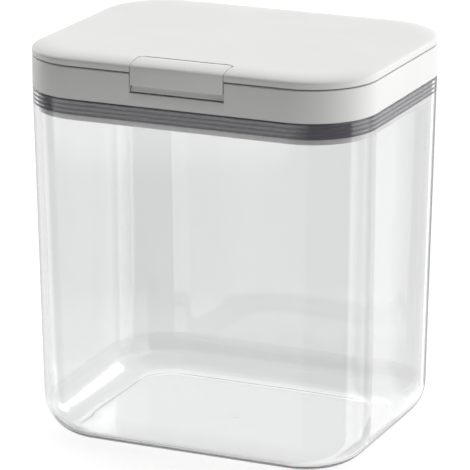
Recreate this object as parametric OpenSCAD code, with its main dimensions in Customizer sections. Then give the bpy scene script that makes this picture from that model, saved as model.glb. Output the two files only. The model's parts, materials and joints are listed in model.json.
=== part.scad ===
// Flip-top food canister: a clear moulded container, a lift-off lid with a ribbed
// mouth gasket, and a hinged flap held shut by a pivoting front latch.
// +Z is up, -Y is the latch side, and the origin is the centre of the base.
// Lid and container share one plan: a rounded rectangle swept with the same inset
// all round, so each section below is drawn once, as insets from the outer face.

/* [Overall] */
// Width across the lid and the container's mouth
body_w = 150; // [144:1:160]
// Depth across the lid and the container's mouth
body_d = 119; // [116:1:126]
// Height from the base to the top of the closed flap
total_h = 168.5; // [150:0.5:200]
// Plan radius of the upright corners
corner_r = 28; // [27:0.5:30]

/* [Container] */
// Wall thickness at the rim
wall = 2; // [1.8:0.1:2.1]
// Wall thickness just above the base fillet
wall_low = 2.2; // [2:0.1:2.6]
// Thickness of the floor
floor_t = 2.2; // [1.8:0.1:2.8]
// Lean of each outer wall between rim and base fillet
draft = 1.8; // [1.2:0.1:2.2]
// Radius of the outer base edge
base_r = 16.8; // [14:0.2:18]
// Radius of the inner base edge
inner_base_r = 13; // [11:0.2:14]

/* [Lid frame] */
// Height of the whole closed lid above the container's rim
lid_h = 18.2; // [18:0.1:19]
// Height of the frame's outer band
band_h = 13.2; // [13:0.1:13.4]
// Thickness of the frame's band and deck
skin = 2; // [1.8:0.1:2.1]
// Inset of the pouring opening from the outer face
opening_in = 17; // [16:0.5:18]
// Depth of the plug below the container's rim
plug_depth = 9.15; // [9:0.05:10]

/* [Flap] */
// Gap between the flap's edge and the frame
part_gap = 0.6; // [0.4:0.1:0.8]
// Width of the soft roll-off along the flap's edge
roll_in = 10.4; // [9:0.1:11]
// Drop of the roll-off
roll_drop = 2.3; // [2:0.1:2.4]
// Largest thickness of the flap's top skin
cover_t = 2.5; // [2.4:0.1:2.6]
// Length of the hinge barrel
barrel_len = 88; // [70:1:90]

/* [Latch] */
// Width of the latch
latch_w = 40.6; // [34:0.2:44]
// Gap on each side of the latch
latch_gap = 0.5; // [0.4:0.1:0.7]

/* [Hidden] */
$fn = 96;
over = 1;                       // how far a cutter runs past the face it opens

axis_x = body_w / 2 - corner_r; // axes of the four corner sweeps
axis_y = body_d / 2 - corner_r;
front_y = -body_d / 2;

// Levels of the lid
rim_z = total_h - lid_h;
frame_z0 = rim_z + 0.05;
frame_z1 = rim_z + band_h;
deck_z = frame_z1 - skin - 0.2;
web_z1 = frame_z0 + 1.8;
flap_z0 = frame_z1 + part_gap;
edge_z = total_h - roll_drop;
cover_z = total_h - cover_t;

// Plug ring and mouth gasket
plug_z0 = rim_z - plug_depth;
plug_out = 4.6;                 // inset of the plug wall's outer face
plug_t = 2.2;
flange_h = 2.25;
flange_out = wall + 0.6;
web_out = skin + 0.3;
gasket_t = 0.9;
rib_r = 0.6;
rib_out = 2.45;                 // inset of the rib tips, just clear of the wall
rib_n = 4;
rib_pitch = 1.8;
rib_z = plug_z0 + flange_h + 0.15 + rib_r;

// Pouring opening, the flap's boss and its seal
collar_t = 2;
boss_out = opening_in + 3.5;
boss_t = 2.5;
boss_z = frame_z1 - 5;
seal_out = opening_in + 0.7;
seal_body_z = boss_z + 2;
seal_body_t = 1.5;
seal_r = 0.8;
seal_z = frame_z1 - 1.2;

// Flap edge: a wide arc off the flat top, then a tight one into the upright edge
edge_r = 0.9;
roll_r = (pow(roll_in - edge_r, 2) + pow(roll_drop, 2) - pow(edge_r, 2))
         / (2 * (roll_drop - edge_r));
roll_turn = asin((roll_in - edge_r) / (roll_r - edge_r));
roll_x = corner_r - roll_in + roll_r * sin(roll_turn);
skirt_t = 2.4;
liner_out = skirt_t + 0.3;
liner_z = flap_z0 + 0.1;

// Hinge along the back
hinge_y = body_d / 2 - 3.5;
hinge_z = frame_z1 - 3.3;
barrel_r = 3.3;
trough_r = barrel_r + 0.4;
relief_r = 3.6;                 // frame's rear edge, rounded about the hinge axis
barrel_gap = 0.4;
pin_r = 1;
pin_len = 16;
pin_end = barrel_len / 2 + 6;
bore_end = 0.5;                 // how far a blind bore runs past its pin
run_fit = 0.05;                 // radial running clearance
held_fit = 0.02;                // radial clearance where a pin is held
knuckle_end = pin_end + 3;
arm_y0 = -1.5;                  // arm from barrel to flap, seen from the axis
arm_y1 = 0.9;

// Latch, its pivot and the pocket it closes over
pivot_in = 8.2;
pivot_y = front_y + pivot_in;
pivot_z = total_h - 2;
knuckle_r = 2.83;
knuckle_gap = 0.3;
knuckle_z = pivot_z - 2;
latch_pin_r = 0.9;
ear_len = 5.2;
ear_depth = 3;
ear_z = flap_z0 + 0.3;
notch_x = latch_w / 2 + latch_gap;
latch_t = 2.1;
latch_z1 = edge_z - 0.4;
face_z = frame_z1 - 4.8;
lip_z = frame_z1 - 7.6;
lip_in = 1.2;
lip_t = 1.7;
pocket_z = lip_z - 0.4;
pocket_in = 4.2;
pocket_t = 1.8;
catch_w = 24;
catch_z = pocket_z + 2.6;
catch_h = 1.4;
catch_out = 0.7;
hook_z = pocket_z + 0.8;
hook_h = 1.2;
hook_in = 3.15;                 // inset of the hook's tip

// Moulding marks under the floor
gate_r = 2.2;
gate_depth = 0.4;
gate_tip_r = 0.8;
gate_tip_h = 0.25;
mark_y = -20.8;
mark_r = 1.5;
mark_depth = 0.2;

white = [0.9, 0.9, 0.89];
clear = [0.93, 0.95, 0.96, 0.3];
silicone = [0.48, 0.47, 0.53];
steel = [0.72, 0.72, 0.74];

// Distance from a corner axis of a point at this inset from the outer face
function px(inset) = corner_r - inset;

// Rectangular section between two insets and two heights
module strip(in0, in1, z0, z1) {
    translate([px(in1), z0]) square([in1 - in0, z1 - z0]);
}

// Carries a section round the rounded rectangle
module sweep() {
    for (turn = [0, 180]) rotate([0, 0, turn]) {
        translate([axis_x, axis_y, 0]) rotate_extrude(angle = 90) children();
        translate([-axis_x, axis_y, 0]) rotate([0, 0, 90]) rotate_extrude(angle = 90) children();
        translate([axis_x, axis_y, 0]) rotate([90, 0, 0]) linear_extrude(height = 2 * axis_y) children();
        translate([-axis_x, axis_y, 0]) rotate([90, 0, 90]) linear_extrude(height = 2 * axis_x) children();
    }
}

// Box between the four corner axes, which fills the middle of a swept plate
module core(z0, z1) {
    translate([-axis_x, -axis_y, z0]) cube([2 * axis_x, 2 * axis_y, z1 - z0]);
}

// Box centred on X
module bar(half_x, y0, y1, z0, z1) {
    translate([-half_x, y0, z0]) cube([2 * half_x, y1 - y0, z1 - z0]);
}

// Cylinder along X between two stations
module rod(r, x0, x1, y, z) {
    translate([x0, y, z]) rotate([0, 90, 0]) cylinder(r = r, h = x1 - x0);
}

// Upright section of a cup: straight leaning wall, round base edge, flat floor
module cup_section(foot_in, top_in, z0, z1, edge) {
    polygon([[0, z0 + edge], [px(foot_in), z0 + edge], [px(top_in), z1], [0, z1]]);
    translate([0, z0]) square([px(foot_in) - edge, edge]);
    translate([px(foot_in) - edge, z0 + edge]) intersection() {
        circle(r = edge);
        translate([0, -edge]) square(edge);
    }
}

module container() color(clear) difference() {
    union() {
        sweep() difference() {
            cup_section(draft, 0, 0, rim_z, base_r);
            cup_section(draft + wall_low, wall, floor_t, rim_z + over, inner_base_r);
        }
        core(0, floor_t);
    }
    difference() {
        translate([0, 0, -over]) cylinder(r = gate_r, h = gate_depth + over);
        translate([0, 0, gate_depth - gate_tip_h]) cylinder(r = gate_tip_r, h = gate_tip_h + over);
    }
    translate([0, mark_y, -over]) cylinder(r = mark_r, h = mark_depth + over);
}

// Small ridge across the pocket that the latch's hook passes under
module catch_ridge() {
    translate([-catch_w / 2, front_y + pocket_in, catch_z]) rotate([90, 0, 90])
        linear_extrude(height = catch_w)
            polygon([[0.2, 0], [-catch_out, 0.3], [-catch_out, catch_h - 0.5], [0.2, catch_h]]);
}

module lid_frame() color(white) difference() {
    union() {
        sweep() {
            strip(0, skin, frame_z0, frame_z1);
            strip(0, opening_in, deck_z, frame_z1);
            strip(opening_in - collar_t, opening_in, web_z1, frame_z1);
        }
        difference() {
            bar(notch_x + pocket_t, front_y + over, front_y + pocket_in + pocket_t,
                pocket_z - pocket_t, frame_z1);
            bar(notch_x, front_y, front_y + pocket_in, pocket_z, frame_z1 + over);
        }
        catch_ridge();
        bar(knuckle_end, hinge_y - trough_r - 1.3, hinge_y + 2.5,
            hinge_z - trough_r - 1, deck_z + over);
    }
    bar(notch_x, front_y - over, front_y + pocket_in - catch_out, pocket_z, frame_z1 + over);
    bar(notch_x, front_y - over, front_y + pocket_in, catch_z + catch_h, frame_z1 + over);
    rod(trough_r, -barrel_len / 2 - barrel_gap, barrel_len / 2 + barrel_gap, hinge_y, hinge_z);
    bar(barrel_len / 2 + barrel_gap, hinge_y - 2.2, body_d / 2 + over, hinge_z, frame_z1 + over);
    bar(barrel_len / 2 + barrel_gap, hinge_y, body_d / 2 + over, hinge_z - 1.2, hinge_z + over);
    rod(pin_r + held_fit, -pin_end, pin_end, hinge_y, hinge_z);
    difference() {
        bar(body_w / 2, hinge_y, body_d / 2 + over, hinge_z, frame_z1 + over);
        rod(relief_r, -body_w / 2 - over, body_w / 2 + over, hinge_y, hinge_z);
    }
}

module plug_ring() color(white) sweep() {
    strip(web_out, opening_in, frame_z0, web_z1);
    strip(plug_out, plug_out + plug_t, plug_z0, web_z1);
    strip(flange_out, plug_out + plug_t, plug_z0, plug_z0 + flange_h);
}

module rim_gasket() color(silicone) sweep() {
    strip(plug_out - gasket_t, plug_out, plug_z0 + flange_h, frame_z0);
    for (i = [0 : rib_n - 1]) translate([0, rib_z + i * rib_pitch]) {
        strip(rib_out + rib_r, plug_out - gasket_t / 2, -rib_r, rib_r);
        translate([px(rib_out + rib_r), 0]) circle(r = rib_r);
    }
}

// Everything under the flap's top surface, down to this level
module roll_section(z0) {
    strip(0, corner_r, z0, edge_z);
    strip(roll_in, corner_r, edge_z, total_h);
    intersection() {
        translate([px(roll_in), total_h - roll_r]) circle(r = roll_r);
        translate([px(roll_in), edge_z]) square([roll_x - px(roll_in), roll_drop]);
    }
    intersection() {
        translate([px(edge_r), edge_z]) circle(r = edge_r);
        translate([roll_x, edge_z]) square([corner_r - roll_x, edge_r]);
    }
}

// Two lugs beside the latch that hold its pin
module ears() {
    for (side = [-1, 1])
        translate([side > 0 ? notch_x : -notch_x - ear_len, pivot_y - ear_depth, ear_z])
            cube([ear_len, 2 * ear_depth, cover_z - ear_z + over / 2]);
}

module flap_cover() color(white) difference() {
    union() {
        sweep() {
            roll_section(cover_z);
            strip(0, skirt_t, flap_z0, edge_z);
        }
        core(cover_z, total_h);
        ears();
    }
    bar(notch_x, front_y - over, pivot_y, flap_z0 - over, total_h + over);
    rod(knuckle_r + knuckle_gap, -notch_x, notch_x, pivot_y, pivot_z);
    rod(latch_pin_r + held_fit, -notch_x - ear_len + 1, notch_x + ear_len - 1, pivot_y, pivot_z);
}

module flap_liner() color(white) difference() {
    union() {
        sweep() {
            strip(liner_out, corner_r, liner_z, cover_z);
            strip(boss_out, boss_out + boss_t, boss_z, cover_z);
        }
        core(liner_z, cover_z);
        bar(barrel_len / 2, hinge_y + arm_y0, hinge_y + arm_y1, hinge_z, cover_z);
        rod(barrel_r, -barrel_len / 2, barrel_len / 2, hinge_y, hinge_z);
    }
    bar(notch_x + ear_len + 0.3, front_y, pivot_y + ear_depth + 0.3, flap_z0, cover_z + over);
    for (x0 = [-pin_end, pin_end - pin_len - bore_end])
        rod(pin_r + run_fit, x0, x0 + pin_len + bore_end, hinge_y, hinge_z);
}

module flap_seal() color(silicone) sweep() {
    strip(boss_out - seal_body_t, boss_out, seal_body_z, liner_z);
    strip(seal_out + seal_r, boss_out - seal_body_t / 2, seal_z - seal_r, seal_z + seal_r);
    translate([px(seal_out + seal_r), seal_z]) circle(r = seal_r);
}

module latch_section() {
    difference() {
        union() {
            intersection() {
                roll_section(latch_z1);
                strip(-over, pivot_in, latch_z1, total_h + over);
            }
            intersection() {
                roll_section(knuckle_z);
                translate([px(pivot_in), pivot_z]) circle(r = knuckle_r);
            }
        }
        translate([px(pivot_in), pivot_z]) circle(r = latch_pin_r + run_fit);
    }
    strip(0, latch_t, face_z, edge_z);
    strip(lip_in, lip_in + lip_t, lip_z, face_z + lip_t);
    strip(lip_in, hook_in, hook_z, hook_z + hook_h);
}

module latch() color(white)
    translate([latch_w / 2, -axis_y, 0]) rotate([90, 0, -90])
        linear_extrude(height = latch_w) latch_section();

module latch_pin() color(steel)
    rod(latch_pin_r, 1.2 - notch_x - ear_len, notch_x + ear_len - 1.2, pivot_y, pivot_z);

module hinge_pins() color(steel) for (x0 = [-pin_end, pin_end - pin_len])
    rod(pin_r, x0, x0 + pin_len, hinge_y, hinge_z);

container();
lid_frame();
plug_ring();
rim_gasket();
flap_cover();
flap_liner();
flap_seal();
latch();
latch_pin();
hinge_pins();
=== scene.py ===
"""Flip-top canister: detailed pieces round the CAD frame, materials, light and camera."""

import json
import math

import bmesh
import bpy
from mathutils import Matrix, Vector


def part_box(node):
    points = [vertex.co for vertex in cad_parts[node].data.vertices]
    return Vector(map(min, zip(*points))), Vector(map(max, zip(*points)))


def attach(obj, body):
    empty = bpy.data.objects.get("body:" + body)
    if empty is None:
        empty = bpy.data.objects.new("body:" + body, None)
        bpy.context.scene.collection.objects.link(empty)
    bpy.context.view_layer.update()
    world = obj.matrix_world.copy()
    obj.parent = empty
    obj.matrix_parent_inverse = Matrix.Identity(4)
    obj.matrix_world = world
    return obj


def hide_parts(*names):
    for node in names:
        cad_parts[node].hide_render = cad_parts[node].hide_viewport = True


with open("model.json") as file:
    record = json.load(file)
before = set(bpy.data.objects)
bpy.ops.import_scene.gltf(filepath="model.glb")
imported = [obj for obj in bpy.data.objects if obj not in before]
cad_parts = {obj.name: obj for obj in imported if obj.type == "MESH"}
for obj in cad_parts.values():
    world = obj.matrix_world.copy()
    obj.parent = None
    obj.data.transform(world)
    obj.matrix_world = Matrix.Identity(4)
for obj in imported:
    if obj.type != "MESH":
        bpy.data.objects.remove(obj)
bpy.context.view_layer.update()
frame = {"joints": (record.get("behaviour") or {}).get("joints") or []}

MM = 0.001


# ---------------------------------------------------------------- frame sizes
def span(node):
    """A CAD node's lowest and highest corners, in millimetres."""
    lo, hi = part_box(node)
    return Vector(lo) / MM, Vector(hi) / MM


_, JAR_HI = span("container")
BAND_LO, BAND_HI = span("lid_frame")
PLUG_LO, PLUG_HI = span("plug_ring")
RIBS_LO, RIBS_HI = span("rim_gasket")
COVER_LO, COVER_HI = span("flap_cover")
_, LINER_HI = span("flap_liner")
SEAL_LO, SEAL_HI = span("flap_seal")
LATCH_LO, LATCH_HI = span("latch")
LPIN_LO, LPIN_HI = span("latch_pin")
HPIN_LO, HPIN_HI = span("hinge_pins")

HALF_W = JAR_HI.x
HALF_D = JAR_HI.y
FRONT = -HALF_D
TOP = COVER_HI.z
RIM = JAR_HI.z
BAND_TOP = BAND_HI.z
CORNER_R = 28.0                # plan radius of the outer corners
SKIN = 2.0                     # walls of the jar's mouth and the lid's band
OPENING_IN = 17.0              # inset of the pouring opening
PAST = 2.0                     # how far a cutter runs past the face it cuts
BITE = 0.5                     # how far a filler overlaps what it joins

JOINT = {j["name"]: j for j in frame["joints"]}


def joint_yz(name):
    """Where a joint's x-parallel axis passes, as y and z in millimetres."""
    pos = JOINT[name]["pos_m"]
    return pos[1] / MM, pos[2] / MM


HINGE_Y, HINGE_Z = joint_yz("flap_hinge")
PIVOT_Y, PIVOT_Z = joint_yz("latch_pivot")


# ---------------------------------------------------------------- mesh helpers
def outline(half_w, half_d, radius, corner_n=30, long_n=22, short_n=15):
    """Points round a rounded rectangle, anticlockwise, starting on the +X side."""
    ax, ay = half_w - radius, half_d - radius
    starts = [(ax, ay, 0), (-ax, ay, 90), (-ax, -ay, 180), (ax, -ay, 270)]
    pts = []
    for i, (cx, cy, a0) in enumerate(starts):
        for k in range(corner_n + 1):
            a = math.radians(a0 + 90 * k / corner_n)
            pts.append((cx + radius * math.cos(a), cy + radius * math.sin(a)))
        nx, ny, na = starts[(i + 1) % 4]
        a = math.radians(na)
        end = (nx + radius * math.cos(a), ny + radius * math.sin(a))
        side_n = long_n if i % 2 == 0 else short_n
        x0, y0 = pts[-1]
        for k in range(1, side_n):
            t = k / side_n
            pts.append((x0 + (end[0] - x0) * t, y0 + (end[1] - y0) * t))
    return pts


MIN_CORNER = 0.3               # no loop's corner gets tighter than this


def ring(inset, z, radius=None, **counts):
    """One loop at this inset from the outer face, parallel to it unless a radius is given."""
    r = max(CORNER_R - inset if radius is None else radius, MIN_CORNER)
    return [(x, y, z) for x, y in outline(HALF_W - inset, HALF_D - inset, r, **counts)]


def rounded(points, seg=5):
    """A closed outline of (a, b, radius) corners, with each corner turned into an arc."""
    out = []
    n = len(points)
    for i, (px, py, r) in enumerate(points):
        p = Vector((px, py))
        if r <= 0:
            out.append((px, py))
            continue
        a = Vector(points[i - 1][:2]) - p
        b = Vector(points[(i + 1) % n][:2]) - p
        half = a.angle(b) / 2
        cut = r / math.tan(half)
        ua, ub = a.normalized(), b.normalized()
        centre = p + (ua + ub).normalized() * (r / math.sin(half))
        s = p + ua * cut - centre
        e = p + ub * cut - centre
        turn = s.angle_signed(e)
        for k in range(seg + 1):
            t = -turn * k / seg
            v = Vector((s.x * math.cos(t) - s.y * math.sin(t),
                        s.x * math.sin(t) + s.y * math.cos(t)))
            out.append(tuple(centre + v))
    return out


def mesh_object(name, verts, faces):
    """A mesh object from millimetre points, with its normals facing out."""
    mesh = bpy.data.meshes.new(name)
    mesh.from_pydata([tuple(c * MM for c in v) for v in verts], [], faces)
    bm = bmesh.new()
    bm.from_mesh(mesh)
    bmesh.ops.remove_doubles(bm, verts=bm.verts, dist=1e-7)
    bmesh.ops.recalc_face_normals(bm, faces=bm.faces)
    bm.to_mesh(mesh)
    bm.free()
    obj = bpy.data.objects.new(name, mesh)
    bpy.context.scene.collection.objects.link(obj)
    return obj


def loft(name, loops, closed=False):
    """Skins equal loops in order. Open ends are capped; closed joins last to first."""
    n = len(loops[0])
    verts = [v for loop in loops for v in loop]
    faces = []
    pairs = len(loops) if closed else len(loops) - 1
    for i in range(pairs):
        a, b = i * n, ((i + 1) % len(loops)) * n
        for k in range(n):
            m = (k + 1) % n
            faces.append((a + k, a + m, b + m, b + k))
    if not closed:
        faces.append(tuple(range(n - 1, -1, -1)))
        faces.append(tuple((len(loops) - 1) * n + k for k in range(n)))
    return mesh_object(name, verts, faces)


def swept(name, profile, **counts):
    """A closed (inset, z) profile carried round the plan."""
    return loft(name, [ring(i, z, **counts) for i, z in profile], closed=True)


def prism(name, section, lo, hi, axis="x"):
    """Extrudes a closed 2-D outline: (y, z) along x, or (x, y) along z."""
    if axis == "x":
        loops = [[(s, a, b) for a, b in section] for s in (lo, hi)]
    else:
        loops = [[(a, b, s) for a, b in section] for s in (lo, hi)]
    return loft(name, loops)


def block(name, x, y, z):
    """A box cutter or filler between pairs of limits."""
    section = [(y[0], z[0]), (y[1], z[0]), (y[1], z[1]), (y[0], z[1])]
    return prism(name, section, x[0], x[1])


def rod(name, r, x0, x1, y, z, n=64):
    """A cylinder along x."""
    section = [(y + r * math.cos(math.tau * k / n), z + r * math.sin(math.tau * k / n))
               for k in range(n)]
    return prism(name, section, x0, x1)


def turned(name, y, z, stations, n=48):
    """A body turned about an x-parallel axis, from (x, radius) stations."""
    loops = [[(x, y + r * math.cos(math.tau * k / n), z + r * math.sin(math.tau * k / n))
              for k in range(n)] for x, r in stations]
    return loft(name, loops)


def combine(obj, other, how="DIFFERENCE"):
    """An exact boolean, with its result kept in obj's mesh."""
    mod = obj.modifiers.new("cut", "BOOLEAN")
    mod.operation = how
    mod.solver = "EXACT"
    mod.object = other
    bpy.context.view_layer.update()
    graph = bpy.context.evaluated_depsgraph_get()
    result = bpy.data.meshes.new_from_object(obj.evaluated_get(graph))
    obj.modifiers.clear()
    old = obj.data
    obj.data = result
    result.name = obj.name
    bpy.data.meshes.remove(old)
    used = other.data
    bpy.data.objects.remove(other)
    bpy.data.meshes.remove(used)


def soften(obj, pick, width, segments=2, sharp=35.0):
    """Rounds the sharp edges whose middle, in millimetres, pick() accepts."""
    bm = bmesh.new()
    bm.from_mesh(obj.data)
    bmesh.ops.remove_doubles(bm, verts=bm.verts, dist=2e-6)
    limit = math.radians(sharp)
    edges = [e for e in bm.edges
             if len(e.link_faces) == 2 and e.calc_face_angle(0.0) > limit
             and pick((e.verts[0].co + e.verts[1].co) / (2 * MM))]
    bmesh.ops.bevel(bm, geom=edges, offset=width * MM, offset_type="OFFSET", segments=segments,
                    profile=0.5, affect="EDGES", clamp_overlap=True, material=-1)
    bmesh.ops.remove_doubles(bm, verts=bm.verts, dist=1e-6)
    bmesh.ops.recalc_face_normals(bm, faces=bm.faces)
    bm.to_mesh(obj.data)
    bm.free()


def shade(obj, angle=32.0):
    """Smooth shading that keeps real edges crisp."""
    mesh = obj.data
    mesh.polygons.foreach_set("use_smooth", [True] * len(mesh.polygons))
    mesh.set_sharp_from_angle(angle=math.radians(angle))
    mesh.update()


def piece(obj, body, material, slot, *nodes):
    """Finishes a piece: its look, the body it rides on and the CAD nodes it stands for."""
    obj.data.materials.clear()
    obj.data.materials.append(material)
    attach(obj, body)
    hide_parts(*nodes)
    return obj


# ---------------------------------------------------------------- materials
class Nodes:
    """Small helper that adds and links shader nodes in one tree."""

    def __init__(self, tree):
        self.tree = tree
        tree.nodes.clear()

    def add(self, kind, inputs=None, **props):
        """Adds a node; an input is either a socket to link or a value to set."""
        node = self.tree.nodes.new(kind)
        for key, value in props.items():
            setattr(node, key, value)
        for key, value in (inputs or {}).items():
            if isinstance(value, bpy.types.NodeSocket):
                self.tree.links.new(value, node.inputs[key])
            else:
                node.inputs[key].default_value = value
        return node


def ramp(n, source, stops):
    """A colour ramp with (position, grey or colour) stops."""
    node = n.add("ShaderNodeValToRGB", {"Fac": source})
    elements = node.color_ramp.elements
    while len(elements) < len(stops):
        elements.new(0.5)
    for element, (at, value) in zip(elements, stops):
        element.position = at
        colour = value if isinstance(value, tuple) else (value,) * 3
        element.color = (*colour, 1.0)
    return node.outputs["Color"]


def moulded(name, low, high, rough, grain, grain_depth, extra=None):
    """Moulded plastic or rubber: faint cloudy tone, fine moulding grain, uneven gloss."""
    mat = bpy.data.materials.new(name)
    mat.use_nodes = True
    n = Nodes(mat.node_tree)
    where = n.add("ShaderNodeTexCoord").outputs["Object"]
    cloud = n.add("ShaderNodeTexNoise", {"Vector": where, "Scale": 22.0, "Detail": 3.0})
    fine = n.add("ShaderNodeTexNoise", {"Vector": where, "Scale": grain, "Detail": 2.0,
                                        "Roughness": 0.6})
    patch = n.add("ShaderNodeTexNoise", {"Vector": where, "Scale": 60.0, "Detail": 4.0})
    colour = ramp(n, cloud.outputs["Fac"], [(0.3, low), (0.7, high)])
    gloss = ramp(n, patch.outputs["Fac"], [(0.3, rough[0]), (0.7, rough[1])])
    bump = n.add("ShaderNodeBump", {"Height": fine.outputs["Fac"], "Strength": 0.35,
                                    "Distance": grain_depth})
    inputs = {"Base Color": colour, "Roughness": gloss, "Normal": bump.outputs["Normal"]}
    inputs.update(extra or {})
    shader = n.add("ShaderNodeBsdfPrincipled", inputs)
    n.add("ShaderNodeOutputMaterial", {"Surface": shader.outputs["BSDF"]})
    return mat


white_plastic = moulded(
    "white_plastic", low=(0.79, 0.79, 0.775), high=(0.82, 0.82, 0.805), rough=(0.34, 0.42),
    grain=2600.0, grain_depth=0.00004, extra={"IOR": 1.48, "Specular IOR Level": 0.45})
grey_silicone = moulded(
    "grey_silicone", low=(0.112, 0.099, 0.138), high=(0.127, 0.113, 0.155), rough=(0.36, 0.46),
    grain=1800.0, grain_depth=0.00003, extra={"IOR": 1.42, "Specular IOR Level": 0.5})


def clear_plastic_material():
    """Water-clear plastic with a trace of uneven tint."""
    mat = bpy.data.materials.new("clear_plastic")
    mat.use_nodes = True
    n = Nodes(mat.node_tree)
    where = n.add("ShaderNodeTexCoord").outputs["Object"]
    haze = n.add("ShaderNodeTexNoise", {"Vector": where, "Scale": 45.0, "Detail": 4.0})
    tint = ramp(n, haze.outputs["Fac"], [(0.35, (0.985, 0.988, 0.989)),
                                         (0.75, (0.993, 0.995, 0.996))])
    shader = n.add("ShaderNodeBsdfPrincipled", {
        "Base Color": tint, "Roughness": 0.0, "IOR": 1.5, "Transmission Weight": 1.0})
    n.add("ShaderNodeOutputMaterial", {"Surface": shader.outputs["BSDF"]})
    return mat


clear_plastic = clear_plastic_material()


def steel_material():
    """Drawn steel, with fine lines along the pin."""
    mat = bpy.data.materials.new("pin_steel")
    mat.use_nodes = True
    n = Nodes(mat.node_tree)
    where = n.add("ShaderNodeTexCoord").outputs["Object"]
    drawn = n.add("ShaderNodeMapping", {"Vector": where, "Scale": (60.0, 2400.0, 2400.0)})
    lines = n.add("ShaderNodeTexNoise", {"Vector": drawn.outputs["Vector"], "Scale": 1.0,
                                         "Detail": 3.0})
    colour = ramp(n, lines.outputs["Fac"], [(0.3, (0.5, 0.5, 0.51)), (0.7, (0.68, 0.68, 0.7))])
    gloss = ramp(n, lines.outputs["Fac"], [(0.3, 0.22), (0.7, 0.4)])
    bump = n.add("ShaderNodeBump", {"Height": lines.outputs["Fac"], "Strength": 0.3,
                                    "Distance": 0.00001})
    shader = n.add("ShaderNodeBsdfPrincipled", {
        "Base Color": colour, "Metallic": 1.0, "Roughness": gloss,
        "Normal": bump.outputs["Normal"]})
    n.add("ShaderNodeOutputMaterial", {"Surface": shader.outputs["BSDF"]})
    return mat


pin_steel = steel_material()


# ---------------------------------------------------------------- container
BASE_R = 16.85                 # outer base edge
INNER_R = 13.0                 # inner base edge
FLOOR_T = 2.2
FLOOR_STEP = 0.12              # step where the inner base edge meets the floor panel
LEAN = 1.8                     # each wall leans in this much towards the base
WALL_LOW = 2.2                 # wall at the base
LOW_CORNER_R = 29.2            # plan radius just above the base edge
LIP_R = 0.45                   # rounding of the rim
RIM_BAND = 1.0                 # close loops this far under the rim keep its shading true
EDGE_STEPS = 22                # loops round each base edge
WALL_STEPS = 14                # loops up each wall
LIP_STEPS = 5                  # loops round each half of the rim
PANEL_IN = 8.0                 # inset of the last loop of a flat, from the base edge


def jar_ring(inset, z, depth=0.0):
    """A loop of the jar: depth is how far inside the leaning outer wall it lies."""
    s = min(max((RIM - z) / (RIM - BASE_R), 0.0), 1.0)
    outer_r = CORNER_R + (LOW_CORNER_R - CORNER_R) * s
    return ring(inset, z, radius=outer_r - depth)


def outer_inset(z):
    """Inset of the jar's outer wall at this height."""
    return LEAN * (RIM - z) / (RIM - BASE_R)


def inner_inset(z):
    """Inset of the jar's inner wall at this height."""
    lean = (RIM - z) / (RIM - FLOOR_T - INNER_R)
    return LEAN * lean + SKIN + (WALL_LOW - SKIN) * lean


def outside_loops():
    """From the middle of the underside, round the base edge and up the outer wall."""
    flat_in = LEAN + BASE_R
    loops = [jar_ring(flat_in + extra, 0.0, BASE_R + extra) for extra in (PANEL_IN, 1.2, 0.3)]
    for k in range(EDGE_STEPS + 1):
        a = math.radians(90 * k / EDGE_STEPS)
        depth = BASE_R * (1 - math.sin(a))
        loops.append(jar_ring(LEAN + depth, BASE_R * (1 - math.cos(a)), depth))
    for k in range(WALL_STEPS + 1):
        t = (0.02 if k == 0 else k) / WALL_STEPS
        z = BASE_R + (RIM - RIM_BAND - BASE_R) * t
        loops.append(jar_ring(outer_inset(z), z))
    for z in (RIM - 0.8, RIM - 0.55):
        loops.append(jar_ring(outer_inset(z), z))
    return loops


def rim_loops():
    """Over the rounded rim, from outside to inside."""
    loops = []
    for k in range(1, LIP_STEPS + 1):
        a = math.radians(90 * k / LIP_STEPS)
        depth = LIP_R * (1 - math.cos(a))
        loops.append(jar_ring(depth, RIM - LIP_R + LIP_R * math.sin(a), depth))
    for k in range(LIP_STEPS + 1):
        a = math.radians(90 * k / LIP_STEPS)
        depth = SKIN - LIP_R * (1 - math.sin(a))
        loops.append(jar_ring(depth, RIM - LIP_R + LIP_R * math.cos(a), depth))
    return loops


def inside_loops():
    """Down the inner wall and round its base edge, then a small step down to the floor panel."""
    loops = []
    for z in (RIM - 0.6, RIM - 0.85):
        loops.append(jar_ring(outer_inset(z) + SKIN, z, SKIN))
    edge_z = FLOOR_T + FLOOR_STEP + INNER_R
    for k in range(1, WALL_STEPS + 1):
        t = k / WALL_STEPS - (0.01 if k == WALL_STEPS else 0.0)
        z = RIM - RIM_BAND + (edge_z - RIM + RIM_BAND) * t
        lean = (RIM - z) / (RIM - edge_z)
        depth = SKIN + (WALL_LOW - SKIN) * lean
        loops.append(jar_ring(LEAN * lean + depth, z, depth))
    for k in range(EDGE_STEPS + 1):
        a = math.radians(90 * k / EDGE_STEPS)
        depth = WALL_LOW + INNER_R * (1 - math.cos(a))
        loops.append(jar_ring(LEAN + depth, edge_z - INNER_R * math.sin(a), depth))
    panel = [(0.2, FLOOR_T + FLOOR_STEP)]
    panel += [(extra, FLOOR_T) for extra in (0.28, 0.6, 1.4, PANEL_IN)]
    for extra, z in panel:
        depth = WALL_LOW + INNER_R + extra
        loops.append(jar_ring(LEAN + depth, z, depth))
    return loops


def dimple(obj, x, y, radius, depth, n=48, steps=10):
    """Cuts a shallow round dimple with a soft rim into the underside."""
    stations = [(-1.0, radius * 1.02)]          # (z, radius), starting below the base
    for k in range(steps):
        t = k / steps
        stations.append((depth * (1 - math.cos(math.pi * t)) / 2, radius * (1 - t)))
    loops = [[(x + r * math.cos(math.tau * k / n), y + r * math.sin(math.tau * k / n), z)
              for k in range(n)] for z, r in stations]
    combine(obj, loft("recess_cut", loops))


jar = loft("container_shell", outside_loops() + rim_loops() + inside_loops())
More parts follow.
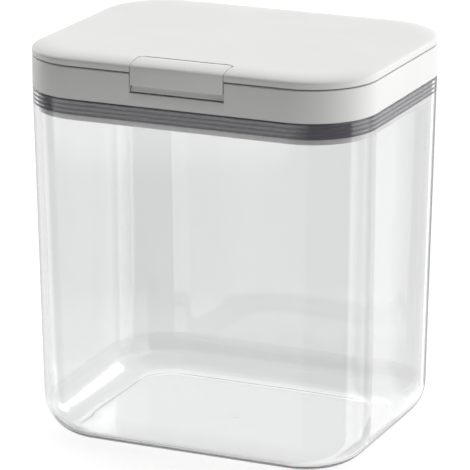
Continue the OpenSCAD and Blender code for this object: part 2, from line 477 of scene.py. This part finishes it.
# the gate's mark in the middle of the floor, and a smaller one in front of it
dimple(jar, x=0.0, y=0.0, radius=1.9, depth=0.04)
dimple(jar, x=0.0, y=-20.8, radius=1.4, depth=0.03)
shade(jar, 40)
piece(jar, "jar", clear_plastic, "clear_plastic", "container")


# ---------------------------------------------------------------- lid frame
DECK_T = 2.2
COLLAR_T = 2.0                 # wall round the pouring opening
NOTCH_X = LATCH_HI.x + 0.5     # half width of the latch's pocket
POCKET_Z = LATCH_LO.z - 0.4    # floor of the pocket
POCKET_IN = 4.2
POCKET_WALL = 1.8
POCKET_R = 0.8
SUNK = 0.6                     # how far a filler under the deck stays below its top
BARREL_X = 44.0                # half length of the hinge barrel
GAP_X = BARREL_X + 0.4         # half width of the slot that it turns in
TROUGH_R = 3.7                 # the slot's round floor
ARM_FRONT = 2.2                # room in front of the hinge axis for the flap's arm
LIP_LOW = 1.2                  # how far the slot's rear wall is cut below the axis
RELIEF_R = 3.6                 # rounded rear edge that the flap's skirt swings over
BLOCK_X = 53.0                 # half length of the block that holds the hinge pins
BLOCK_FRONT = 5.0              # and how far it reaches from the axis
BLOCK_REAR = 2.45
BLOCK_LOW = 4.7
HINGE_BORE_R = 1.02
HINGE_BORE_X = 50.0
CATCH_X = 12.0                 # half length of the ridge under the latch's hook
CATCH_Z = 2.6                  # and its height above the pocket's floor

band = swept("lid_frame_shell", rounded([
    (0, BAND_LO.z, 0.35), (0, BAND_TOP, 0.45), (OPENING_IN, BAND_TOP, 0.9),
    (OPENING_IN, PLUG_HI.z, 0.3), (OPENING_IN - COLLAR_T, PLUG_HI.z, 0.3),
    (OPENING_IN - COLLAR_T, BAND_TOP - DECK_T, 0.7), (SKIN, BAND_TOP - DECK_T, 0.7),
    (SKIN, BAND_LO.z, 0.3)]))

# the latch's pocket and the block that holds the hinge pins
combine(band, block("pocket_back", (-NOTCH_X - POCKET_WALL, NOTCH_X + POCKET_WALL),
                    (FRONT + SKIN / 2, FRONT + POCKET_IN + POCKET_WALL),
                    (POCKET_Z - POCKET_WALL, BAND_TOP - SUNK)), "UNION")
combine(band, block("hinge_block", (-BLOCK_X, BLOCK_X),
                    (HINGE_Y - BLOCK_FRONT, HINGE_Y + BLOCK_REAR),
                    (HINGE_Z - BLOCK_LOW, BAND_TOP - SUNK)), "UNION")
pocket_plan = rounded([(-NOTCH_X, FRONT - PAST, 0), (NOTCH_X, FRONT - PAST, 0),
                       (NOTCH_X, FRONT + POCKET_IN, POCKET_R),
                       (-NOTCH_X, FRONT + POCKET_IN, POCKET_R)])
combine(band, prism("pocket_cut", pocket_plan, POCKET_Z, BAND_TOP + PAST, axis="z"))

# room for the hinge barrel, its arm and the flap's skirt, and the bore for the pins
combine(band, rod("trough_cut", TROUGH_R, -GAP_X, GAP_X, HINGE_Y, HINGE_Z, 96))
combine(band, block("arm_cut", (-GAP_X, GAP_X), (HINGE_Y - ARM_FRONT, HALF_D + PAST),
                    (HINGE_Z, BAND_TOP + PAST)))
combine(band, block("lip_cut", (-GAP_X, GAP_X), (HINGE_Y, HALF_D + PAST),
                    (HINGE_Z - LIP_LOW, HINGE_Z + 1)))
relief = block("relief_cut", (-HALF_W - PAST, HALF_W + PAST), (HINGE_Y, HALF_D + PAST),
               (HINGE_Z, BAND_TOP + PAST))
combine(relief, rod("relief_keep", RELIEF_R, -HALF_W - PAST - 1, HALF_W + PAST + 1,
                    HINGE_Y, HINGE_Z, 128))
combine(band, relief)
combine(band, rod("pin_bore", HINGE_BORE_R, -HINGE_BORE_X, HINGE_BORE_X, HINGE_Y, HINGE_Z, 32))


def catch_section(y0, z0):
    """The ridge that the latch's hook snaps under, as a (y, z) outline from the pocket's back."""
    return rounded([(y0 + 0.3, z0, 0), (y0 - 0.7, z0 + 0.3, 0.15), (y0 - 0.7, z0 + 0.9, 0.3),
                    (y0 + 0.3, z0 + 1.5, 0)], 3)


combine(band, prism("catch", catch_section(FRONT + POCKET_IN, POCKET_Z + CATCH_Z),
                    -CATCH_X, CATCH_X), "UNION")


def pocket_mouth(p):
    """The pocket's rim on the band's face and deck."""
    near_x = abs(p.x) < NOTCH_X + 0.3
    on_face = p.y < FRONT + 0.05 and p.z > POCKET_Z - 0.3
    on_deck = p.z > BAND_TOP - 0.05 and p.y < FRONT + POCKET_IN + 0.3
    return near_x and (on_face or on_deck)


soften(band, pocket_mouth, width=0.22)
shade(band)
piece(band, "lid", white_plastic, "white_plastic", "lid_frame")

# ---------------------------------------------------------------- plug ring
PLUG_OUT = 4.6                 # inset of the wall that carries the gasket
PLUG_T = 2.2
TOP_OUT = SKIN + 0.3           # inset of its top plate, inside the band
FLANGE_OUT = SKIN + 0.6        # and of the flange under the gasket

plug = swept("plug_ring_shell", rounded([
    (TOP_OUT, BAND_LO.z, 0.2), (TOP_OUT, PLUG_HI.z, 0.2), (OPENING_IN, PLUG_HI.z, 0.2),
    (OPENING_IN, BAND_LO.z, 0.8), (PLUG_OUT + PLUG_T, BAND_LO.z, 0.8),
    (PLUG_OUT + PLUG_T, PLUG_LO.z, 0.7), (FLANGE_OUT, PLUG_LO.z, 0.55),
    (FLANGE_OUT, RIBS_LO.z, 0.35), (PLUG_OUT, RIBS_LO.z, 0.1), (PLUG_OUT, BAND_LO.z, 0.1)]))
shade(plug)
piece(plug, "lid", white_plastic, "white_plastic", "plug_ring")


# ---------------------------------------------------------------- gaskets
RIB_COUNT = 4
RIB_PITCH = 1.8
FIRST_RIB = 0.75               # height of the lowest rib's middle above the gasket's bottom
CREST = 0.34                   # half height of the flat that each rib presses on the wall
SHOULDER = 0.32                # rounding beside the crest
GROOVE_IN = 0.6                # how deep the grooves run behind the crests
FLARE = 0.08                   # how much wider a rib is at its root
SQUEEZE = 0.02                 # how far a crest is pressed into the wall's line
GRIP = 0.02                    # how far the sleeve is pressed on the plug ring


def rib_band_profile():
    """Closed (inset, z) profile of the rim gasket: flat-crested ribs on a thin sleeve."""
    back = PLUG_OUT + GRIP
    pts = [(back, RIBS_LO.z)]
    for i in range(RIB_COUNT):
        zc = RIBS_LO.z + FIRST_RIB + RIB_PITCH * i
        tip = inner_inset(zc) - SQUEEZE
        root = tip + GROOVE_IN
        pts.append((root, zc - CREST - SHOULDER - FLARE))
        for side in (-1, 1):
            for k in range(5):
                a = math.radians(90 * k / 4)
                if side > 0:
                    a = math.radians(90) - a
                pts.append((tip + SHOULDER * (1 - math.sin(a)),
                            zc + side * (CREST + SHOULDER * math.cos(a))))
        pts.append((root, zc + CREST + SHOULDER + FLARE))
    pts += [(PLUG_OUT - 0.9, RIBS_HI.z), (back, RIBS_HI.z)]
    return pts


def pressed_ring(inset, z):
    """A loop of the rim gasket that follows the leaning wall round the corners."""
    return jar_ring(inset, z, inset - outer_inset(z))


ribs = loft("rim_gasket_band", [pressed_ring(i, z) for i, z in rib_band_profile()], closed=True)
shade(ribs)
piece(ribs, "lid", grey_silicone, "grey_silicone", "rim_gasket")

BOSS_OUT = OPENING_IN + 3.5    # inset of the flap's boss, which carries the seal
SEAL_R = 0.8                   # round bead of the seal
SEAL_T = 1.5                   # its sleeve
SEAL_DROP = 1.2                # the bead's middle lies this far below the deck
INNER_COUNTS = {"corner_n": 24, "long_n": 14, "short_n": 10}


def seal_profile(seg=10):
    """Closed (inset, z) profile of the flap's seal: a flat sleeve with one round bead."""
    root, back = BOSS_OUT - SEAL_T, BOSS_OUT
    tip, zc = HALF_W - SEAL_HI.x, BAND_TOP - SEAL_DROP
    pts = [(back, SEAL_LO.z), (root, SEAL_LO.z), (root, zc - SEAL_R)]
    for k in range(seg + 1):
        a = math.radians(-90 + 180 * k / seg)
        pts.append((tip + SEAL_R - SEAL_R * math.cos(a), zc + SEAL_R * math.sin(a)))
    pts += [(root, zc + SEAL_R), (root, SEAL_HI.z), (back, SEAL_HI.z)]
    return pts


seal = swept("flap_seal_ring", seal_profile(), **INNER_COUNTS)
shade(seal)
piece(seal, "flap", grey_silicone, "grey_silicone", "flap_seal")

# ---------------------------------------------------------------- flap cover
ROLL_IN = 10.35                # the soft edge starts this far in
ROLL_DROP = 2.27               # and falls this far
ROLL_BIAS = 0.9                # below 1 spreads its loops towards the upright edge
COVER_T = 2.5
SKIRT_T = 2.4
MIDDLE_IN = 18.0               # inset of the last loop of the flat top
LATCH_REAR = LATCH_HI.y
LATCH_CORNER = 3.0             # plan radius of the latch's rear corners
SLOT_GAP = 0.3                 # gap that shows round the latch
EAR_X = 5.2                    # how far the ears that hold the latch pin reach past the notch
EAR_Y = 3.0                    # and to each side of the pin
SLOT_R = 3.13                  # room for the latch's knuckle
LATCH_BORE_R = 0.92
LATCH_BORE_X = 25.0


def roll_profile(steps=16):
    """The soft edge as (inset, z): a quarter ellipse from the flat top to the upright edge."""
    out = []
    for k in range(steps + 1):
        a = math.radians(90 * (k / steps) ** ROLL_BIAS)
        out.append((ROLL_IN * (1 - math.sin(a)), TOP - ROLL_DROP * (1 - math.cos(a))))
    return out


def cover_loops():
    """The cover's skin, from the middle of its top round its skirt to the middle underneath."""
    under = COVER_HI.z - COVER_T
    low = COVER_LO.z
    profile = [(MIDDLE_IN, TOP), (ROLL_IN + 1.6, TOP), (ROLL_IN + 0.4, TOP)]
    profile += roll_profile()
    profile += [(0, low + 0.35), (0.1, low + 0.1), (0.35, low),
                (SKIRT_T - 0.3, low), (SKIRT_T, low + 0.3),
                (SKIRT_T, under - 0.5), (SKIRT_T + 0.5, under), (SKIRT_T + 1.5, under),
                (MIDDLE_IN, under)]
    return [ring(i, z) for i, z in profile]


def latch_plan(grow, y_front):
    """The latch seen from above, with its rear corners rounded."""
    w, y1, r = LATCH_HI.x + grow, LATCH_REAR + grow, LATCH_CORNER + grow
    return rounded([(-w, y_front, 0), (w, y_front, 0), (w, y1, r), (-w, y1, r)], 10)


cover = loft("flap_cover_shell", cover_loops())
for side in (-1, 1):
    x0, x1 = sorted((side * (NOTCH_X - BITE), side * (NOTCH_X + EAR_X)))
    combine(cover, block("ear", (x0, x1), (PIVOT_Y - EAR_Y, PIVOT_Y + EAR_Y),
                         (COVER_LO.z + 0.3, TOP - 2.0)), "UNION")
combine(cover, prism("slot_cut", latch_plan(SLOT_GAP + 0.12, FRONT - PAST),
                     COVER_LO.z - PAST, TOP + PAST, axis="z"))
combine(cover, rod("slot_under", SLOT_R, -NOTCH_X, NOTCH_X, PIVOT_Y, PIVOT_Z - 0.6, 96))
combine(cover, rod("pin_hole", LATCH_BORE_R, -LATCH_BORE_X, LATCH_BORE_X,
                   PIVOT_Y, PIVOT_Z, 32))


def slot_rim(p):
    """The slot's edges on the top and down its front sides."""
    near_slot = p.y < LATCH_REAR + 1.0 and abs(p.x) < NOTCH_X + 1.0
    on_side = abs(abs(p.x) - LATCH_HI.x - SLOT_GAP) < 0.3 and p.z > TOP - ROLL_DROP - 0.6
    return near_slot and p.z > COVER_LO.z + 0.05 and (p.z > TOP - 0.1 or on_side)


soften(cover, slot_rim, width=0.16)
shade(cover)
piece(cover, "flap", white_plastic, "white_plastic", "flap_cover")

# ---------------------------------------------------------------- flap liner
LINER_OUT = SKIRT_T + 0.3      # inset of the liner, inside the cover's skirt
LINER_MIDDLE = 20.0            # inset of the last loop of its upper face
BOSS_T = 2.5
BOSS_MIDDLE = 27.0             # inset of the last loop of its lower face, inside the boss
BOSS_DROP = 5.0                # the boss reaches this far below the deck
EAR_ROOM_X = 5.5               # room round the cover's ears
EAR_ROOM_Y = 3.3
BARREL_R = 3.3
BARREL_END = 0.4               # chamfer of the barrel's ends
BARREL_BORE_R = 1.05
BARREL_BORE = 16.5             # length of each bore


def liner_loops():
    """The liner's panel with the boss that enters the pouring opening."""
    low = COVER_LO.z + 0.1
    high = LINER_HI.z
    foot = BAND_TOP - BOSS_DROP
    out, back = BOSS_OUT, BOSS_OUT + BOSS_T
    profile = [(LINER_MIDDLE, high), (LINER_OUT + 0.3, high), (LINER_OUT, high - 0.2),
               (LINER_OUT, low + 0.2), (LINER_OUT + 0.2, low),
               (out - 0.6, low), (out - 0.2, low - 0.15), (out, low - 0.6),
               (out, foot + 0.5), (out + 0.2, foot + 0.1), (out + 0.6, foot),
               (back - 0.6, foot), (back - 0.1, foot + 0.2), (back, foot + 0.6),
               (back, low - 0.6), (back + 0.2, low - 0.15), (back + 0.6, low),
               (BOSS_MIDDLE, low)]
    return [ring(i, z, **INNER_COUNTS) for i, z in profile]


liner = loft("flap_liner_panel", liner_loops())
combine(liner, block("liner_notch", (-NOTCH_X - EAR_ROOM_X, NOTCH_X + EAR_ROOM_X),
                     (FRONT - 1, PIVOT_Y + EAR_ROOM_Y), (COVER_LO.z - 1, LINER_HI.z + 1)))
combine(liner, block("hinge_arm", (-BARREL_X, BARREL_X), (HINGE_Y - 1.5, HINGE_Y + 0.9),
                     (HINGE_Z, LINER_HI.z - 0.8)), "UNION")
combine(liner, turned("hinge_barrel", HINGE_Y, HINGE_Z, [
    (-BARREL_X, BARREL_R - BARREL_END), (-BARREL_X + BARREL_END, BARREL_R),
    (BARREL_X - BARREL_END, BARREL_R), (BARREL_X, BARREL_R - BARREL_END)], 72), "UNION")
for x0 in (-HINGE_BORE_X, HINGE_BORE_X - BARREL_BORE):
    combine(liner, rod("barrel_bore", BARREL_BORE_R, x0, x0 + BARREL_BORE, HINGE_Y, HINGE_Z, 32))
shade(liner)
piece(liner, "flap", white_plastic, "white_plastic", "flap_liner")


# ---------------------------------------------------------------- latch
FACE_DROP = 4.8                # the front plate ends this far below the deck
PLATE_T = 2.1                  # thickness of that plate
LIP_IN = 1.2                   # how far the pull lip is set back
LEVER_BORE_R = 0.95
LEVER_BORE_X = 30.0


def latch_section():
    """(y, z) outline of the lever: knuckle, roll-off top, front plate, set-back pull lip, hook."""
    face_z = BAND_TOP - FACE_DROP
    lip_z = LATCH_LO.z
    lip = FRONT + LIP_IN
    # round the knuckle, from below its rear up to the top
    r = LATCH_REAR - PIVOT_Y
    low = math.radians(-45)
    high = math.asin((TOP - 0.02 - PIVOT_Z) / r)
    pts = []
    for k in range(9):
        a = low + (high - low) * k / 8
        pts.append((PIVOT_Y + r * math.cos(a), PIVOT_Z + r * math.sin(a)))
    # over the top and down the front plate
    pts += [(FRONT + i, z) for i, z in roll_profile(20)[1:]]
    pts += [(FRONT, face_z + 0.35), (FRONT + 0.1, face_z + 0.1), (FRONT + 0.35, face_z)]
    # the scoop behind the plate's lower edge, and the pull lip below it
    pts += [(FRONT + 1.8, face_z), (FRONT + 2.05, face_z - 0.2), (FRONT + 2.05, face_z - 0.45),
            (FRONT + 1.7, face_z - 1.1), (FRONT + 1.35, face_z - 1.7), (lip, face_z - 2.0)]
    pts += [(lip, lip_z + 0.35), (lip + 0.1, lip_z + 0.1), (lip + 0.35, lip_z),
            (lip + 1.4, lip_z), (lip + 1.65, lip_z + 0.1), (lip + 1.7, lip_z + 0.4)]
    # the hook behind the lip, then up the back of the plate
    hook = lip_z + 0.4
    pts += [(FRONT + 3.0, hook), (FRONT + 3.15, hook + 0.15), (FRONT + 3.15, hook + 0.8),
            (FRONT + 2.9, hook + 1.2), (FRONT + 2.9, face_z + 1.3),
            (FRONT + PLATE_T, face_z + 1.8)]
    # under the top, back to the knuckle
    under = TOP - ROLL_DROP - 0.4
    pts += [(FRONT + PLATE_T, under - 0.8), (FRONT + PLATE_T + 0.25, under - 0.2),
            (FRONT + PLATE_T + 0.8, under), (PIVOT_Y - 2.75, under),
            (PIVOT_Y - 2.2, PIVOT_Z - 1.75), (PIVOT_Y - 2.0, PIVOT_Z - 2.0)]
    return pts


def lever_edges(p):
    """All of the lever's edges but those low on its knuckle."""
    return p.y < PIVOT_Y - 1.2 or p.z > PIVOT_Z + 1.5


lever = prism("latch_lever_shell", latch_section(), -LATCH_HI.x, LATCH_HI.x)
combine(lever, prism("latch_trim", latch_plan(0.0, FRONT - PAST),
                     LATCH_LO.z - PAST, TOP + PAST, axis="z"), "INTERSECT")
combine(lever, rod("latch_bore", LEVER_BORE_R, -LEVER_BORE_X, LEVER_BORE_X,
                   PIVOT_Y, PIVOT_Z, 32))
soften(lever, lever_edges, width=0.18, sharp=40)
shade(lever)
piece(lever, "latch_lever", white_plastic, "white_plastic", "latch")

# ---------------------------------------------------------------- pins
LATCH_PIN_R = 0.9
HINGE_PIN_R = 1.0
HINGE_PIN = 16.0               # length of each hinge pin


def pin(name, y, z, x0, x1, radius, chamfer, end_r):
    """A pin along x with chamfered ends, which are end_r in radius."""
    return turned(name, y, z, [(x0, end_r), (x0 + chamfer, radius),
                               (x1 - chamfer, radius), (x1, end_r)])


def hinge_pin(name, x0):
    """One of the two hinge pins, from x0 to the right."""
    return pin(name, HINGE_Y, HINGE_Z, x0, x0 + HINGE_PIN, HINGE_PIN_R, chamfer=0.25, end_r=0.75)


latch_pin = pin("latch_pin_rod", PIVOT_Y, PIVOT_Z, LPIN_LO.x, LPIN_HI.x, LATCH_PIN_R,
                chamfer=0.2, end_r=0.7)
shade(latch_pin)
piece(latch_pin, "flap", pin_steel, "pin_steel", "latch_pin")

hinge_pins = hinge_pin("hinge_pin_pair", HPIN_LO.x)
combine(hinge_pins, hinge_pin("right_pin", HPIN_HI.x - HINGE_PIN), "UNION")
shade(hinge_pins)
piece(hinge_pins, "lid", pin_steel, "pin_steel", "hinge_pins")


# ---------------------------------------------------------------- stage
def flat_material(name, colour, glow):
    """A matt surface with a glow of its own, for the studio floor."""
    mat = bpy.data.materials.new(name)
    mat.use_nodes = True
    n = Nodes(mat.node_tree)
    shader = n.add("ShaderNodeBsdfPrincipled", {
        "Base Color": (*colour, 1.0), "Roughness": 0.9, "Specular IOR Level": 0.1,
        "Emission Color": (1.0, 1.0, 1.0, 1.0), "Emission Strength": glow})
    n.add("ShaderNodeOutputMaterial", {"Surface": shader.outputs["BSDF"]})
    return mat


FLOOR_HALF = 4000.0
FLOOR_Z = -0.15                # just under the jar
corners = [(-1, -1), (1, -1), (1, 1), (-1, 1)]
floor = mesh_object("floor", [(x * FLOOR_HALF, y * FLOOR_HALF, FLOOR_Z) for x, y in corners],
                    [(0, 1, 2, 3)])
floor.data.materials.append(flat_material("floor_white", (0.3, 0.3, 0.3), glow=0.85))
# the camera sees the floor, and the object gets its light and reflections from the sky alone
floor.active_material.cycles.emission_sampling = "NONE"
floor.visible_diffuse = False
floor.visible_glossy = False
floor.visible_transmission = False
floor.visible_shadow = False

world = bpy.data.worlds.new("studio")
bpy.context.scene.world = world
world.use_nodes = True
n = Nodes(world.node_tree)


def maths(op, a, b=0.0):
    """The result of a math node in the sky's tree."""
    return n.add("ShaderNodeMath", {0: a, 1: b}, operation=op).outputs["Value"]


def ease(value, lo, hi, to_lo=0.0, to_hi=1.0):
    """A smooth step of value between two angles in degrees."""
    return n.add("ShaderNodeMapRange", {
        "Value": value, "From Min": math.radians(lo), "From Max": math.radians(hi),
        "To Min": to_lo, "To Max": to_hi}, interpolation_type="SMOOTHSTEP").outputs["Result"]


toward = n.add("ShaderNodeSeparateXYZ", {0: n.add("ShaderNodeTexCoord").outputs["Generated"]})
# azimuth is 0 towards the latch side and grows to the right; elevation is above the horizon
azimuth = maths("ARCTAN2", toward.outputs["X"], maths("MULTIPLY", toward.outputs["Y"], -1.0))
elevation = maths("ARCSINE", toward.outputs["Z"])


def panel(az, half_width, el, half_height, glow, soft):
    """A softbox round one direction, in degrees, with soft edges."""
    turn = maths("SUBTRACT", azimuth, math.radians(az))
    wrapped = n.add("ShaderNodeMath", {0: turn, 1: math.pi, 2: -math.pi}, operation="WRAP")
    across = ease(maths("ABSOLUTE", wrapped.outputs["Value"]),
                  half_width - soft, half_width + soft, 1.0, 0.0)
    rise = maths("ABSOLUTE", maths("SUBTRACT", elevation, math.radians(el)))
    upright = ease(rise, half_height - soft, half_height + soft, 1.0, 0.0)
    return maths("MULTIPLY", maths("MULTIPLY", across, upright), glow)


PANELS = [
    # azimuth, half width, elevation, half height, glow, softness
    (165, 100, 42, 48, 1.45, 4.0),     # broad overhead light, from behind and both sides
    (-158, 30, 18, 22, -0.3, 5.0),     # shaded low behind
    (128, 24, 12, 18, 0.3, 3.0),       # brighter on the right
    (159, 6, 21, 8, 2.8, 2.0),         # and brightest at the right's rear edge
    (-110, 15, 15, 20, 1.6, 3.0),      # window on the left
    (-25, 41, -12.6, 4, 0.95, 0.4),    # narrow strip in front
    (-25, 41, -17, 11, 0.45, 2.0),     # pale front round it
    (55, 39, -17, 11, 0.12, 2.0),      # dim front right
    (125, 31, -17, 11, 0.75, 2.0),     # low light on the right
    (113, 20, -15, 9, 1.05, 1.5),      # brightest towards its front end
    (166, 10, -17, 11, 0.85, 1.5),     # and on past it at the back
    (-144, 16.2, -17, 11, 0.18, 0.8),  # backdrop
    (-156, 28, -23.2, 5.5, 0.07, 0.5),  # its lower half
    (-137, 9, -17, 11, 0.15, 3.0),     # paler at its left end
    (-110, 18, -17, 11, 0.4, 3.0),     # low light on the left
    (0, 181, -48, 42, 0.42, 2.0),      # pale table all round
    (130, 36, -59, 31, 0.9, 3.0),      # lit from the right
    (-165, 25, -59, 31, 0.4, 3.0),     # and behind
]
AMBIENT = 0.05
PLAIN_WHITE = 1.05             # what the camera sees behind the object

total = AMBIENT
for spec in PANELS:
    total = maths("ADD", total, panel(*spec))
sky = n.add("ShaderNodeBackground", {"Color": (1.0, 1.0, 1.0, 1.0), "Strength": total})
plain = n.add("ShaderNodeBackground", {"Color": (1.0, 1.0, 1.0, 1.0), "Strength": PLAIN_WHITE})
path = n.add("ShaderNodeLightPath")
both = n.add("ShaderNodeMixShader", {0: path.outputs["Is Camera Ray"],
                                     1: sky.outputs["Background"],
                                     2: plain.outputs["Background"]})
n.add("ShaderNodeOutputWorld", {"Surface": both.outputs["Shader"]})


# ---------------------------------------------------------------- camera
YAW = math.radians(23.83)      # to the right of the latch side
PITCH = math.radians(16.42)    # above the horizon
DISTANCE = 1384.2
TARGET = Vector((-0.56, 0.0, 82.71))

away = Vector((math.sin(YAW) * math.cos(PITCH), -math.cos(YAW) * math.cos(PITCH),
               math.sin(PITCH)))
lens = bpy.data.cameras.new("camera")
lens.lens = 252.5
lens.sensor_width = 36.0
lens.clip_end = 20.0
camera = bpy.data.objects.new("camera", lens)
camera.location = (TARGET + away * DISTANCE) * MM
camera.rotation_euler = (-away).to_track_quat("-Z", "Y").to_euler()
bpy.context.scene.collection.objects.link(camera)
bpy.context.scene.camera = camera
bpy.context.scene.view_settings.view_transform = "Standard"
